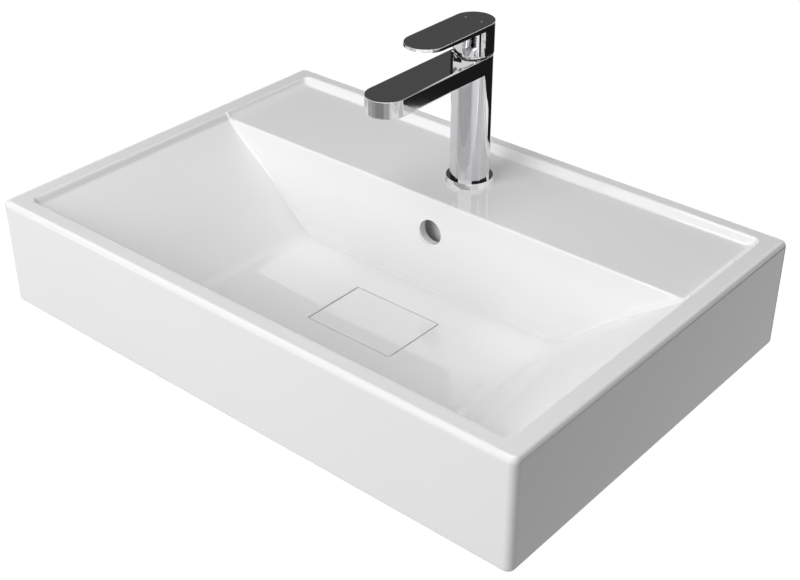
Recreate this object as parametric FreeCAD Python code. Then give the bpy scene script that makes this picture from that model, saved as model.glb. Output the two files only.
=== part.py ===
import FreeCAD, Part
import math
import os

from FreeCAD import Vector

# Wall-hung ceramic washbasin with a single-lever mixer tap.
# Units are millimetres. The origin is midway between the two wall holes, on the
# back face of the basin. +X is to the right as one faces the wall, +Y into the
# wall and +Z up.

# Basin, outside
basin_width = 655.0
basin_depth = 450.0
basin_height = 120.0
fixing_height = 65.0
corner_radius = 8.0
top_edge_radius = 6.0
bottom_edge_radius = 5.0

# Basin, rim and tap deck
rim_side = 21.5
rim_front = 22.0
rim_back = 17.0
deck_drop = 7.6
deck_step_run = 8.5
deck_step_radius = 5.0
deck_front = 151.0
deck_thickness = 12.0
brow_radius = 3.0
rim_inner_radius = 3.5

# Basin, bowl
bowl_depth = 110.0
floor_width = 340.0
floor_fall = 1.8
wall_batter = 10.0
slope_crown = 4.2
slope_crown_radius = 500.0
slope_foot_radius = 34.0
wall_foot_radius = 9.0
bowl_wall = 10.0
side_skirt = 13.0
back_panel = 14.0
pocket_corner_radius = 6.0

# Basin, drain recess and its cover
drain_centre = 246.0
cover_length = 109.5
cover_width = 76.5
cover_gap = 1.3
cover_plate = 8.0
cover_sink = 0.4
cover_foot_radius = 6.0
cover_foot_inset = 11.0
cover_edge_radius = 0.8
pad_thickness = 2.0
pad_radius = 5.0
recess_depth = 26.0
recess_corner_radius = 2.0
boss_wall = 12.0
boss_floor = 12.0
boss_radius = 8.0
waste_hole_radius = 23.0

# Basin, overflow
overflow_radius = 14.0
overflow_drop = 45.6
overflow_lip = 1.6
channel_width = 52.0
channel_depth = 14.0
channel_wall = 8.0
channel_skin = 8.7
duct_height = 12.0

# Basin, holes
tap_hole_radius = 17.5
wall_hole_radius = 8.0
wall_hole_spacing = 280.0

# Waste
flange_radius = 32.0
flange_thickness = 3.0
flange_rim_fall = 1.2
waste_tube_radius = 20.95
waste_bore_radius = 18.5
waste_length = 60.0
waste_neck_radius = 20.5
waste_tail_length = 24.0
grid_slot_width = 4.0
grid_slots = 8
grid_hub_radius = 5.0
flange_seal_thickness = 1.5
flange_seal_width = 8.0
lower_seal_height = 7.0
lower_seal_radius = 31.0
lower_seal_lip = 1.6
slip_washer_thickness = 1.5
backnut_radius = 29.0
backnut_height = 10.0
backnut_lugs = 6
backnut_lug_radius = 4.0
waste_slip = 0.15

# Tap, outside
tap_centre = 89.0
column_radius = 21.3
column_height = 144.3
spout_reach = 155.5
spout_depth = 18.7
spout_lower_edge = 2.0
spout_upper_edge = 0.4
ring_radius = 26.5
ring_top_radius = 25.0
ring_height = 5.9
ring_gap = 0.1
base_seal_thickness = 0.8
base_seal_width = 3.0

# Tap, waterways
inlet_spread = 15.0
inlet_setback = 5.0
inlet_radius = 3.6
inlet_recess_radius = 6.0
inlet_recess_depth = 8.0
inlet_thread_radius = 4.5
inlet_thread_depth = 15.0
waterway_width = 24.0
waterway_height = 6.4
waterway_skin = 2.6

# Tap, cartridge. Heights are counted from the pin about which the lever tips.
pin_depth = 10.7
chamber_radius = 19.2
chamber_depth = 34.7
base_gasket_thickness = 1.0
cartridge_base_height = 4.0
cartridge_radius = 17.4
cartridge_bore = 15.0
shoulder_thickness = 3.0
shoulder_level = 4.0
fixed_disc_height = 3.0
moving_disc_height = 3.5
moving_disc_radius = 11.0
disc_clearance = 0.2
port_radius = 3.2
outlet_port_radius = 4.2
driver_height = 4.6
driver_flat = 7.8
driver_slide = 10.0
ball_radius = 2.2
ball_play = 0.3
rotor_gap = 0.3
rotor_neck_radius = 12.0
rotor_neck_top = 9.0
rotor_step = 0.7
running_clearance = 0.08
slot_front = 5.4
slot_back = 8.6
slot_play = 0.25
pin_radius = 1.5
pin_clearance = 0.05
pin_length = 23.0
stem_size = 8.0
stem_neck_radius = 1.5
stem_shank_foot = 4.0
stem_top = 35.0
nut_bore = 13.5
nut_clearance = 0.1
seal_thickness = 2.4
dome_radius = 21.4
dome_thickness = 1.5
dome_top = 14.5
collar_notch_width = 3.0
collar_notch_depth = 2.0
collar_notches = 8

# Lever. Heights are counted from the same pin.
lever_radius = 22.0
lever_reach = 97.5
lever_top = 45.5
lever_hub_thickness = 5.3
lever_tip_thickness = 3.0
lever_gap = 2.3
lever_edge = 0.5
hub_front_radius = 20.0
hub_bore = 18.2
hub_ceiling = 22.0
wrap_front = 8.7
skirt_flare_radius = 20.8
skirt_flare_height = 4.0
skirt_edge = 0.45
pocket_radius = 16.0
pocket_ceiling = 37.0
post_radius = 9.0
bridge_width = 12.0
socket_clearance = 0.06
socket_depth = 13.5
screw_level = 27.0
grub_radius = 2.5
grub_length = 9.0
grub_key_radius = 1.2
grub_key_depth = 3.0
screw_plug_radius = 3.2
screw_plug_length = 2.5
screw_plug_inset = 0.4
screw_clearance = 0.05

# Aerator
aerator_radius = 12.0
aerator_height = 10.5
aerator_proud = 0.8
aerator_wall = 2.4
aerator_clearance = 0.05
aerator_lip = 1.0
aerator_insert_height = 7.0
aerator_hole_radius = 0.9
aerator_hole_pitch = 2.9
aerator_rings = 2
aerator_holes = 6
aerator_washer_thickness = 1.5
aerator_washer_width = 4.4
key_slot_width = 3.0
key_slot_depth = 1.0

# Tap fixing below the deck
stud_radius = 4.0
stud_offset = 9.0
stud_depth = 15.0
stud_length = 72.0
stud_clearance = 0.05
horseshoe_radius = 25.0
horseshoe_mouth = 26.0
rubber_horseshoe_thickness = 3.0
metal_horseshoe_thickness = 2.0
nut_sides = 6
nut_flats = 13.0
nut_height = 9.0

# Cutting tools run past the face they leave by this much.
overrun = 1.0

# Levels and places that follow from the sizes above
bottom_level = -fixing_height
rim_level = bottom_level + basin_height
deck_level = rim_level - deck_drop
floor_level = rim_level - bowl_depth
floor_edge_level = floor_level + floor_fall
recess_level = floor_level - recess_depth
boss_level = recess_level - boss_floor
overflow_level = rim_level - overflow_drop
recess_half_length = cover_length / 2 + cover_gap
recess_half_width = cover_width / 2 + cover_gap
waste_seat = recess_level + flange_seal_thickness
waste_top = waste_seat + flange_thickness
pocket_level = deck_level - deck_thickness
inner_half_width = basin_width / 2 - rim_side
front_line = -basin_depth
bowl_front = -(basin_depth - rim_front)
tap_y = -tap_centre
drain_y = -drain_centre
column_foot = deck_level + base_seal_thickness
column_top = deck_level + column_height
spout_foot = column_top - spout_depth
spout_tip_y = tap_y - spout_reach + column_radius
pin_level = column_top - pin_depth
chamber_floor = column_top - chamber_depth
base_level = chamber_floor + base_gasket_thickness
fixed_disc_level = base_level + cartridge_base_height
moving_disc_level = fixed_disc_level + fixed_disc_height
driver_level = moving_disc_level + moving_disc_height


def box(x_low, x_high, y_low, y_high, z_low, z_high):
    """Box between two corners."""
    size = (x_high - x_low, y_high - y_low, z_high - z_low)
    return Part.makeBox(size[0], size[1], size[2], Vector(x_low, y_low, z_low))


def rod(radius, x, y, z_low, z_high):
    """Upright cylinder."""
    return Part.makeCylinder(radius, z_high - z_low, Vector(x, y, z_low))


def ring(outer, inner, x, y, z_low, z_high):
    """Upright ring."""
    hole = rod(inner, x, y, z_low - overrun, z_high + overrun)
    return rod(outer, x, y, z_low, z_high).cut(hole)


def one_solid(shape):
    """The single solid of a shape, with faces that lie in one plane joined."""
    return shape.removeSplitter().Solids[0]


def edges_along(shape, direction, test):
    """Straight edges that run along a direction and whose middle passes a test."""
    found = []
    for edge in shape.Edges:
        ends = [vertex.Point for vertex in edge.Vertexes]
        if len(ends) < 2:
            continue
        run = ends[1].sub(ends[0])
        if run.Length == 0 or run.cross(direction).Length > running_clearance:
            continue
        middle = edge.valueAt((edge.FirstParameter + edge.LastParameter) / 2)
        if test(middle):
            found.append(edge)
    return found


def rounded_wire(corners, place):
    """Closed wire through corners (a, b, radius), each rounded by its radius."""
    count = len(corners)
    starts = []
    ends = []
    arcs = []
    for index in range(count):
        a, b, radius = corners[index]
        before = corners[index - 1]
        after = corners[(index + 1) % count]
        here = Vector(a, b, 0)
        back = Vector(before[0], before[1], 0).sub(here)
        ahead = Vector(after[0], after[1], 0).sub(here)
        if radius == 0:
            starts.append(here)
            ends.append(here)
            arcs.append(None)
            continue
        back.normalize()
        ahead.normalize()
        half = back.getAngle(ahead) / 2
        tangent = radius / math.tan(half)
        middle = back.add(ahead)
        middle.normalize()
        reach = radius / math.sin(half) - radius
        starts.append(here.add(back.multiply(tangent)))
        ends.append(here.add(ahead.multiply(tangent)))
        arcs.append(here.add(middle.multiply(reach)))
    edges = []
    for index in range(count):
        if arcs[index] is not None:
            points = (starts[index], arcs[index], ends[index])
            edges.append(Part.Arc(*[place(p.x, p.y) for p in points]).toShape())
        follow = starts[(index + 1) % count]
        if follow.sub(ends[index]).Length > running_clearance:
            run = (place(ends[index].x, ends[index].y), place(follow.x, follow.y))
            edges.append(Part.makeLine(*run))
    return Part.Wire(edges)


def prism_along_y(corners, y_low, y_high):
    """Solid with a profile of x and z corners, from y_low to y_high."""
    wire = rounded_wire(corners, lambda a, b: Vector(a, y_low, b))
    return Part.Face(wire).extrude(Vector(0, y_high - y_low, 0))


def prism_along_x(corners, half_width):
    """Solid with a profile of y and z corners, centred on x = 0."""
    wire = rounded_wire(corners, lambda a, b: Vector(-half_width, a, b))
    return Part.Face(wire).extrude(Vector(2 * half_width, 0, 0))


def slope_run_and_rise():
    """Width and height of the bowl's slopes, from the floor's edge to the rim."""
    return inner_half_width - floor_width / 2, rim_level - floor_edge_level


def slope_crown_point():
    """Middle of the right slope, raised square to it by the crown."""
    run, rise = slope_run_and_rise()
    length = math.hypot(run, rise)
    x = inner_half_width - run / 2 - slope_crown * rise / length
    z = rim_level - rise / 2 + slope_crown * run / length
    return x, z


def bowl_across():
    """Profile of the bowl across the basin, from the rim down to the floor."""
    crown_x, crown_z = slope_crown_point()
    turn = math.atan2(rim_level - crown_z, inner_half_width - crown_x)
    flare = inner_half_width + rim_inner_radius * math.tan(turn / 2)
    right = [
        (recess_half_length, floor_level, 0),
        (floor_width / 2, floor_edge_level, slope_foot_radius),
        (crown_x, crown_z, slope_crown_radius),
        (inner_half_width, rim_level, rim_inner_radius),
        (flare, rim_level, 0),
        (flare, rim_level + overrun, 0),
    ]
    left = [(-a, b, radius) for a, b, radius in reversed(right)]
    return right + left


def step_slope():
    """Angle of the step from the back rim down to the tap deck."""
    return math.atan2(deck_drop, deck_step_run)


def bowl_along():
    """Profile of the bowl from the back rim over the tap deck to the front rim."""
    lean = math.atan2(bowl_depth, wall_batter)
    back_flare = deck_step_radius * math.tan(step_slope() / 2)
    front_flare = rim_inner_radius * math.tan(lean / 2)
    top = rim_level + overrun
    return [
        (-rim_back + back_flare, top, 0),
        (-rim_back + back_flare, rim_level, 0),
        (-rim_back, rim_level, deck_step_radius),
        (-rim_back - deck_step_run, deck_level, deck_step_radius),
        (-deck_front, deck_level, brow_radius),
        (-deck_front - wall_batter, floor_level, wall_foot_radius),
        (bowl_front + wall_batter, floor_level, wall_foot_radius),
        (bowl_front, rim_level, rim_inner_radius),
        (bowl_front - front_flare, rim_level, 0),
        (bowl_front - front_flare, top, 0),
    ]


def bowl_space():
    """The bowl and the tap deck as one solid to cut away."""
    across = prism_along_y(bowl_across(), front_line, 0)
    along = prism_along_x(bowl_along(), basin_width / 2)
    return across.common(along).removeSplitter()


def back_wall(level):
    """Where the bowl's back wall is at a level."""
    return -deck_front - wall_batter * (deck_level - level) / (deck_level - floor_level)


def bowl_skin():
    """What stays solid round the bowl, cut from the pockets below the slopes."""
    run, rise = slope_run_and_rise()
    low = bottom_level - overrun
    high = rim_level + overrun
    top = inner_half_width + bowl_wall * math.hypot(run, rise) / rise
    foot = top - run * (rim_level - low) / rise
    right = [(foot, low, 0), (top, rim_level, 0), (top, high, 0)]
    left = [(-a, b, radius) for a, b, radius in reversed(right)]
    across = prism_along_y(right + left, front_line, 0)
    along = prism_along_x(
        [
            (back_wall(high) + bowl_wall, high, 0),
            (back_wall(low) + bowl_wall, low, 0),
            (front_line - overrun, low, 0),
            (front_line - overrun, high, 0),
        ],
        basin_width / 2,
    )
    return across.common(along)


def pocket_space():
    """The open hollow underneath: one pocket below each slope, one below the deck."""
    half = basin_width / 2 - side_skirt
    front = -(basin_depth - side_skirt)
    block = box(-half, half, front, -back_panel, bottom_level - overrun, pocket_level)
    upright = edges_along(block, Vector(0, 0, 1), lambda middle: True)
    block = block.makeFillet(pocket_corner_radius, upright)
    return block.cut(bowl_skin())


def outer_block():
    """The basin's outside with its rounded corners and edges."""
    half = basin_width / 2
    block = box(-half, half, front_line, 0, bottom_level, rim_level)
    upright = edges_along(block, Vector(0, 0, 1), lambda middle: True)
    block = block.makeFillet(corner_radius, upright)
    top = [edge for edge in block.Edges if edge.BoundBox.ZMin > rim_level - running_clearance]
    block = block.makeFillet(top_edge_radius, top)
    low = bottom_level + running_clearance
    bottom = [edge for edge in block.Edges if edge.BoundBox.ZMax < low]
    return block.makeFillet(bottom_edge_radius, bottom)


def drain_boss():
    """The boss under the floor that holds the drain recess."""
    half_x = recess_half_length + boss_wall
    half_y = recess_half_width + boss_wall
    top = floor_level - bowl_wall / 2
    block = box(-half_x, half_x, drain_y - half_y, drain_y + half_y, boss_level, top)
    upright = edges_along(block, Vector(0, 0, 1), lambda middle: True)
    return block.makeFillet(boss_radius, upright)


def overflow_box(grow, top, foot):
    """The overflow channel behind the back wall and the duct to the drain.

    grow widens both on every side, which gives their casing.
    """
    half = channel_width / 2 + grow
    front = back_wall(overflow_level) + channel_skin
    back = front + channel_depth
    recess_back = drain_y + recess_half_width
    upright = box(-half, half, front - grow, back + grow, foot - grow, top)
    duct_top = foot + duct_height + grow
    duct = box(-half, half, recess_back - overrun, back + grow, foot - grow, duct_top)
    return upright, duct


def overflow_hole():
    """The overflow hole through the bowl's back wall, with a soft mouth."""
    face = back_wall(overflow_level)
    start = Vector(0, face - overflow_lip, overflow_level)
    length = channel_skin + overflow_lip + overrun
    hole = Part.makeCylinder(overflow_radius, length, start, Vector(0, 1, 0))
    wide = overflow_radius + 2 * overflow_lip
    mouth = Part.makeCone(wide, overflow_radius, 2 * overflow_lip, start, Vector(0, 1, 0))
    return hole.fuse(mouth)


def drain_recess():
    """The recess for the cover, with the waste hole in its floor."""
    top = floor_edge_level + overrun
    front = drain_y - recess_half_width
    back = drain_y + recess_half_width
    space = box(-recess_half_length, recess_half_length, front, back, recess_level, top)
    upright = edges_along(space, Vector(0, 0, 1), lambda middle: True)
    space = space.makeFillet(recess_corner_radius, upright)
    hole = rod(waste_hole_radius, 0, drain_y, boss_level - overrun, recess_level + overrun)
    return space.fuse(hole)


def wall_holes():
    """The two holes for the wall bolts."""
    holes = []
    for side in (-1, 1):
        start = Vector(side * wall_hole_spacing / 2, -back_panel - overrun, 0)
        length = back_panel + 2 * overrun
        holes.append(Part.makeCylinder(wall_hole_radius, length, start, Vector(0, 1, 0)))
    return Part.makeCompound(holes)


def basin():
    """The ceramic basin."""
    body = outer_block().cut(bowl_space())
    body = body.cut(pocket_space())
    body = body.fuse(drain_boss())
    duct_foot = bottom_level - duct_height
    channel_top = overflow_level + overflow_radius + overflow_lip
    upright, duct = overflow_box(channel_wall, pocket_level + overrun, duct_foot)
    ceiling = floor_level - bowl_wall / 2
    room = box(-basin_width, basin_width, front_line, 0, boss_level, ceiling)
    body = body.fuse(upright.cut(bowl_space())).fuse(duct.common(room))
    upright, duct = overflow_box(0, channel_top, duct_foot)
    for tool in (upright, duct, overflow_hole(), drain_recess(), wall_holes()):
        body = body.cut(tool)
    body = body.cut(rod(tap_hole_radius, 0, tap_y, pocket_level - overrun, rim_level))
    return one_solid(body)


def cover_feet():
    """Middle points of the four feet of the drain cover."""
    half_x = cover_length / 2 - cover_foot_inset
    half_y = cover_width / 2 - cover_foot_inset
    return [(i * half_x, drain_y + j * half_y) for i in (-1, 1) for j in (-1, 1)]


def drain_cover():
    """Ceramic plate on four feet, its top just below the bowl's floor."""
    half_x = cover_length / 2
    half_y = cover_width / 2
    top = floor_level - cover_sink
    under = top - cover_plate
    plate = box(-half_x, half_x, drain_y - half_y, drain_y + half_y, under, top)
    plate = plate.makeFillet(cover_edge_radius, plate.Edges)
    foot_end = recess_level + pad_thickness
    for x, y in cover_feet():
        plate = plate.fuse(rod(cover_foot_radius, x, y, foot_end, under + cover_plate / 2))
    return one_solid(plate)


def cover_pads():
    """Rubber pads between the cover's feet and the recess."""
    level = recess_level
    top = level + pad_thickness
    return Part.makeCompound([rod(pad_radius, x, y, level, top) for x, y in cover_feet()])


def waste_body():
    """Flanged waste with a slotted grid and an outlet tube."""
    low = waste_top - waste_length
    middle = waste_seat + flange_thickness / 2
    flange = Part.makeCone(
        flange_radius, flange_radius - flange_rim_fall, flange_thickness,
        Vector(0, drain_y, waste_seat),
    )
    body = flange.fuse(rod(waste_neck_radius, 0, drain_y, low, middle))
    body = body.fuse(rod(waste_tube_radius, 0, drain_y, low, low + waste_tail_length))
    well = waste_top - flange_rim_fall
    body = body.cut(rod(waste_bore_radius, 0, drain_y, well, waste_top + overrun))
    body = body.cut(rod(waste_bore_radius, 0, drain_y, low - overrun, waste_seat))
    for index in range(grid_slots):
        half = grid_slot_width / 2
        slot = box(
            grid_hub_radius, waste_bore_radius - half, -half, half,
            waste_seat - overrun, well + overrun,
        )
        slot.rotate(Vector(0, 0, 0), Vector(0, 0, 1), 360 * index / grid_slots)
        slot.translate(Vector(0, drain_y, 0))
        body = body.cut(slot)
    return one_solid(body)


def flange_seal():
    """Rubber ring between the recess floor and the waste's flange."""
    inner = flange_radius - flange_seal_width
    return ring(flange_radius, inner, 0, drain_y, recess_level, waste_seat)


def lower_seal():
    """Tapered rubber ring that closes the waste hole from below."""
    inner = waste_neck_radius + waste_slip
    low = boss_level - lower_seal_height
    cone = Part.makeCone(
        lower_seal_radius - lower_seal_lip, lower_seal_radius, lower_seal_height,
        Vector(0, drain_y, low),
    )
    return one_solid(cone.cut(rod(inner, 0, drain_y, low - overrun, boss_level + overrun)))


def slip_washer():
    """Plastic washer that lets the nut turn on the seal."""
    high = boss_level - lower_seal_height
    inner = waste_tube_radius + waste_slip
    outer = lower_seal_radius - lower_seal_lip
    return ring(outer, inner, 0, drain_y, high - slip_washer_thickness, high)


def waste_backnut():
    """Round nut with grip lugs on the waste's tube."""
    high = boss_level - lower_seal_height - slip_washer_thickness
    low = high - backnut_height
    nut = rod(backnut_radius, 0, drain_y, low, high)
    for index in range(backnut_lugs):
        turn = 2 * math.pi * index / backnut_lugs
        x = backnut_radius * math.cos(turn)
        y = drain_y + backnut_radius * math.sin(turn)
        nut = nut.fuse(rod(backnut_lug_radius, x, y, low, high))
    hole = rod(waste_neck_radius + waste_slip, 0, drain_y, low - overrun, high + overrun)
    return one_solid(nut.cut(hole))


def stadium(half_width, tip_y, z_low, z_high):
    """Upright slab with a round tip towards the front, round at the column too."""
    start = Vector(half_width, tap_y, z_low)
    edges = [
        Part.makeLine(start, Vector(half_width, tip_y, z_low)),
        Part.Arc(
            Vector(half_width, tip_y, z_low),
            Vector(0, tip_y - half_width, z_low),
            Vector(-half_width, tip_y, z_low),
        ).toShape(),
        Part.makeLine(Vector(-half_width, tip_y, z_low), Vector(-half_width, tap_y, z_low)),
        Part.Arc(
            Vector(-half_width, tap_y, z_low),
            Vector(0, tap_y + half_width, z_low),
            start,
        ).toShape(),
    ]
    return Part.Face(Part.Wire(edges)).extrude(Vector(0, 0, z_high - z_low))


def flat_edges(shape, level):
    """Edges that lie at one level."""
    close = running_clearance
    found = []
    for edge in shape.Edges:
        bounds = edge.BoundBox
        if max(abs(bounds.ZMin - level), abs(bounds.ZMax - level)) < close:
            found.append(edge)
    return found


def spout():
    """The flat spout with its softened edges, round the column's axis at the back."""
    slab = stadium(column_radius, spout_tip_y, spout_foot, column_top)
    slab = slab.makeFillet(spout_lower_edge, flat_edges(slab, spout_foot))
    return slab.makeFillet(spout_upper_edge, flat_edges(slab, column_top))


def inlets():
    """Places of the two water inlets."""
    return [(side * inlet_spread / 2, tap_y + inlet_setback) for side in (-1, 1)]


def waterways():
    """Everything that is cut from the column and the spout."""
    tools = [rod(chamber_radius, 0, tap_y, chamber_floor, column_top + overrun)]
    for x, y in inlets():
        tools.append(rod(inlet_radius, x, y, column_foot - overrun, chamber_floor + overrun))
        thread_foot = column_foot + inlet_recess_depth
        tools.append(rod(inlet_recess_radius, x, y, column_foot - overrun, thread_foot))
        thread_top = thread_foot + inlet_thread_depth
        tools.append(rod(inlet_thread_radius, x, y, thread_foot, thread_top))
    stud_top = column_foot + stud_depth
    stud_bore = stud_radius + stud_clearance
    tools.append(rod(stud_bore, 0, tap_y - stud_offset, column_foot - overrun, stud_top))
    low = spout_foot + waterway_skin
    half = waterway_width / 2
    back = tap_y - cartridge_bore
    tools.append(box(-half, half, spout_tip_y, back, low, low + waterway_height))
    aerator_top = spout_foot + aerator_height
    tools.append(rod(aerator_radius, 0, spout_tip_y, spout_foot - overrun, aerator_top))
    return tools


def tap_body():
    """Column and spout in one casting."""
    body = rod(column_radius, 0, tap_y, column_foot, column_top - spout_upper_edge)
    body = body.fuse(spout())
    for tool in waterways():
        body = body.cut(tool)
    return one_solid(body)


def base_ring():
    """Chrome collar round the foot of the column."""
    high = deck_level + ring_height
    bore = column_radius + ring_gap
    cone = Part.makeCone(ring_radius, ring_top_radius, ring_height, Vector(0, tap_y, deck_level))
    return one_solid(cone.cut(rod(bore, 0, tap_y, deck_level - overrun, high + overrun)))


def base_seal():
    """Rubber ring under the column."""
    inner = column_radius - base_seal_width
    return ring(column_radius, inner, 0, tap_y, deck_level, column_foot)


def aerator_washer():
    """Rubber washer above the aerator."""
    high = spout_foot + aerator_height
    outer = aerator_radius - aerator_clearance
    low = high - aerator_washer_thickness
    return ring(outer, outer - aerator_washer_width, 0, spout_tip_y, low, high)


def aerator_shell():
    """Chrome aerator ring with two key slots in its face."""
    low = spout_foot - aerator_proud
    high = spout_foot + aerator_height - aerator_washer_thickness
    outer = aerator_radius - aerator_clearance
    bore = outer - aerator_wall
    shell = rod(outer, 0, spout_tip_y, low, high)
    shell = shell.cut(rod(bore - aerator_lip, 0, spout_tip_y, low - overrun, high + overrun))
    seat = high - aerator_insert_height
    shell = shell.cut(rod(bore, 0, spout_tip_y, seat, high + overrun))
    half = key_slot_width / 2
    slot = box(
        -aerator_radius, aerator_radius, spout_tip_y - half, spout_tip_y + half,
        low - overrun, low + key_slot_depth,
    )
    return one_solid(shell.cut(slot))


def aerator_insert():
    """Plastic insert with rings of jet holes."""
    high = spout_foot + aerator_height - aerator_washer_thickness
    low = high - aerator_insert_height
    radius = aerator_radius - aerator_wall - 2 * aerator_clearance
    body = rod(radius, 0, spout_tip_y, low, high)
    spots = [(0, 0)]
    for step in range(1, aerator_rings + 1):
        count = aerator_holes * step
        for index in range(count):
            turn = 2 * math.pi * index / count
            reach = aerator_hole_pitch * step
            spots.append((reach * math.cos(turn), reach * math.sin(turn)))
    for x, y in spots:
        tool = rod(aerator_hole_radius, x, spout_tip_y + y, low - overrun, high + overrun)
        body = body.cut(tool)
    return one_solid(body)


def fixing_stud():
    """Threaded stud that holds the tap."""
    high = column_foot + stud_depth
    return rod(stud_radius, 0, tap_y - stud_offset, high - stud_length, high)


def horseshoe(z_low, z_high):
    """Plate below the deck, open at the back for the hoses."""
    half = horseshoe_mouth / 2
    plate = rod(horseshoe_radius, 0, tap_y, z_low, z_high)
    mouth_y = tap_y - stud_offset + stud_radius + inlet_setback - inlet_thread_radius
    back = tap_y + horseshoe_radius + overrun
    mouth = box(-half, half, mouth_y, back, z_low - overrun, z_high + overrun)
    bore = stud_radius + stud_clearance
    hole = rod(bore, 0, tap_y - stud_offset, z_low - overrun, z_high + overrun)
    return one_solid(plate.cut(mouth).cut(hole))


def rubber_horseshoe():
    """Rubber plate against the underside of the deck."""
    return horseshoe(pocket_level - rubber_horseshoe_thickness, pocket_level)


def metal_horseshoe():
    """Steel plate under the rubber one."""
    high = pocket_level - rubber_horseshoe_thickness
    return horseshoe(high - metal_horseshoe_thickness, high)


def fixing_nut():
    """Hexagon nut on the stud."""
    high = pocket_level - rubber_horseshoe_thickness - metal_horseshoe_thickness
    low = high - nut_height
    corner = nut_flats / 2 / math.cos(math.pi / nut_sides)
    y = tap_y - stud_offset
    points = []
    for index in range(nut_sides):
        turn = 2 * math.pi * index / nut_sides
        points.append(Vector(corner * math.cos(turn), y + corner * math.sin(turn), low))
    outline = Part.makePolygon(points + points[:1])
    nut = Part.Face(outline).extrude(Vector(0, 0, nut_height))
    bore = stud_radius + stud_clearance
    return one_solid(nut.cut(rod(bore, 0, y, low - overrun, high + overrun)))


def ported(radius, z_low, z_high):
    """Disc with the two inlet ports and the outlet port."""
    body = rod(radius, 0, tap_y, z_low, z_high)
    for x, y in inlets():
        body = body.cut(rod(port_radius, x, y, z_low - overrun, z_high + overrun))
    outlet_y = tap_y - inlet_setback - port_radius
    return body.cut(rod(outlet_port_radius, 0, outlet_y, z_low - overrun, z_high + overrun))


def base_gasket():
    """Rubber gasket between the chamber's floor and the cartridge base."""
    return one_solid(ported(cartridge_bore, chamber_floor, base_level))


def cartridge_base():
    """Plastic foot of the cartridge, with its outlet open to the front."""
    body = ported(cartridge_radius, base_level, fixed_disc_level)
    half = outlet_port_radius
    front = tap_y - cartridge_radius - overrun
    middle = base_level + cartridge_base_height / 2
    outlet_y = tap_y - inlet_setback - port_radius
    return one_solid(body.cut(box(-half, half, front, outlet_y, base_level - overrun, middle)))


def fixed_disc():
    """Lower ceramic disc."""
    return one_solid(ported(cartridge_bore - disc_clearance, fixed_disc_level, moving_disc_level))


def moving_disc():
    """Upper ceramic disc with the mixing hollow in its underside."""
    low = moving_disc_level
    body = rod(moving_disc_radius, 0, tap_y, low, driver_level)
    half = port_radius + disc_clearance
    width = inlet_spread / 2 - port_radius / 2
    top = low + moving_disc_height / 2
    hollow = box(-width, width, tap_y - inlet_setback - half, tap_y, low - overrun, top)
    return one_solid(body.cut(hollow))


def disc_driver():
    """Plastic plate on the moving disc, with the socket for the stem's ball."""
    high = driver_level + driver_height
    body = rod(moving_disc_radius, 0, tap_y, driver_level, high)
    reach = moving_disc_radius + overrun
    web = driver_level + disc_clearance
    for side in (-1, 1):
        low_x = min(side * driver_flat, side * reach)
        high_x = max(side * driver_flat, side * reach)
        body = body.cut(box(low_x, high_x, tap_y - reach, tap_y + reach, web, high + overrun))
    socket = ball_radius + ball_play
    return one_solid(body.cut(rod(socket, 0, tap_y, web, high + overrun)))


def rotor():
    """Carrier that turns with the lever and holds the pin."""
    low = driver_level + driver_height + rotor_gap
    radius = cartridge_bore - running_clearance
    body = rod(radius, 0, tap_y, low, pin_level + rotor_step)
    body = body.fuse(rod(rotor_neck_radius, 0, tap_y, low, pin_level + rotor_neck_top))
    lug = rod(radius, 0, tap_y, driver_level + rotor_gap, low + rotor_gap)
    gap = driver_flat + running_clearance
    lug = lug.cut(box(-gap, gap, tap_y - radius, tap_y + radius, driver_level, low + rotor_gap))
    body = body.fuse(lug)
    half = stem_size / 2 + slot_play
    high = pin_level + rotor_neck_top + overrun
    slot = box(-half, half, tap_y - slot_front, tap_y + slot_back, low - overrun, high)
    body = body.cut(slot)
    start = Vector(-radius, tap_y, pin_level)
    bore = Part.makeCylinder(pin_radius, 2 * radius, start, Vector(1, 0, 0))
    return one_solid(body.cut(bore))


def pivot_pin():
    """Steel pin about which the stem tips."""
    start = Vector(-pin_length / 2, tap_y, pin_level)
    return Part.makeCylinder(pin_radius, pin_length, start, Vector(1, 0, 0))


def stem():
    """Square stem with the ball that pushes the discs."""
    half = stem_size / 2
    shank_foot = pin_level - stem_shank_foot
    top = pin_level + stem_top
    body = box(-half, half, tap_y - half, tap_y + half, shank_foot, top)
    ball_level = pin_level - driver_slide
    body = body.fuse(rod(stem_neck_radius, 0, tap_y, ball_level, shank_foot + overrun))
    ball = Part.makeSphere(ball_radius, Vector(0, tap_y, ball_level))
    body = body.fuse(ball)
    start = Vector(-stem_size, tap_y, pin_level)
    bore = Part.makeCylinder(pin_radius + pin_clearance, 2 * stem_size, start, Vector(1, 0, 0))
    return one_solid(body.cut(bore))


def cartridge_housing():
    """Plastic housing round the discs and the rotor."""
    high = pin_level + shoulder_level
    low = fixed_disc_level
    body = rod(cartridge_radius, 0, tap_y, low, high)
    body = body.cut(rod(cartridge_bore, 0, tap_y, low - overrun, high - shoulder_thickness))
    neck = rotor_neck_radius + running_clearance
    return one_solid(body.cut(rod(neck, 0, tap_y, low, high + overrun)))


def chamber_seal():
    """Rubber ring between the housing and the chamber's wall."""
    high = pin_level + shoulder_level
    return ring(chamber_radius, cartridge_radius, 0, tap_y, high - seal_thickness, high)


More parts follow.
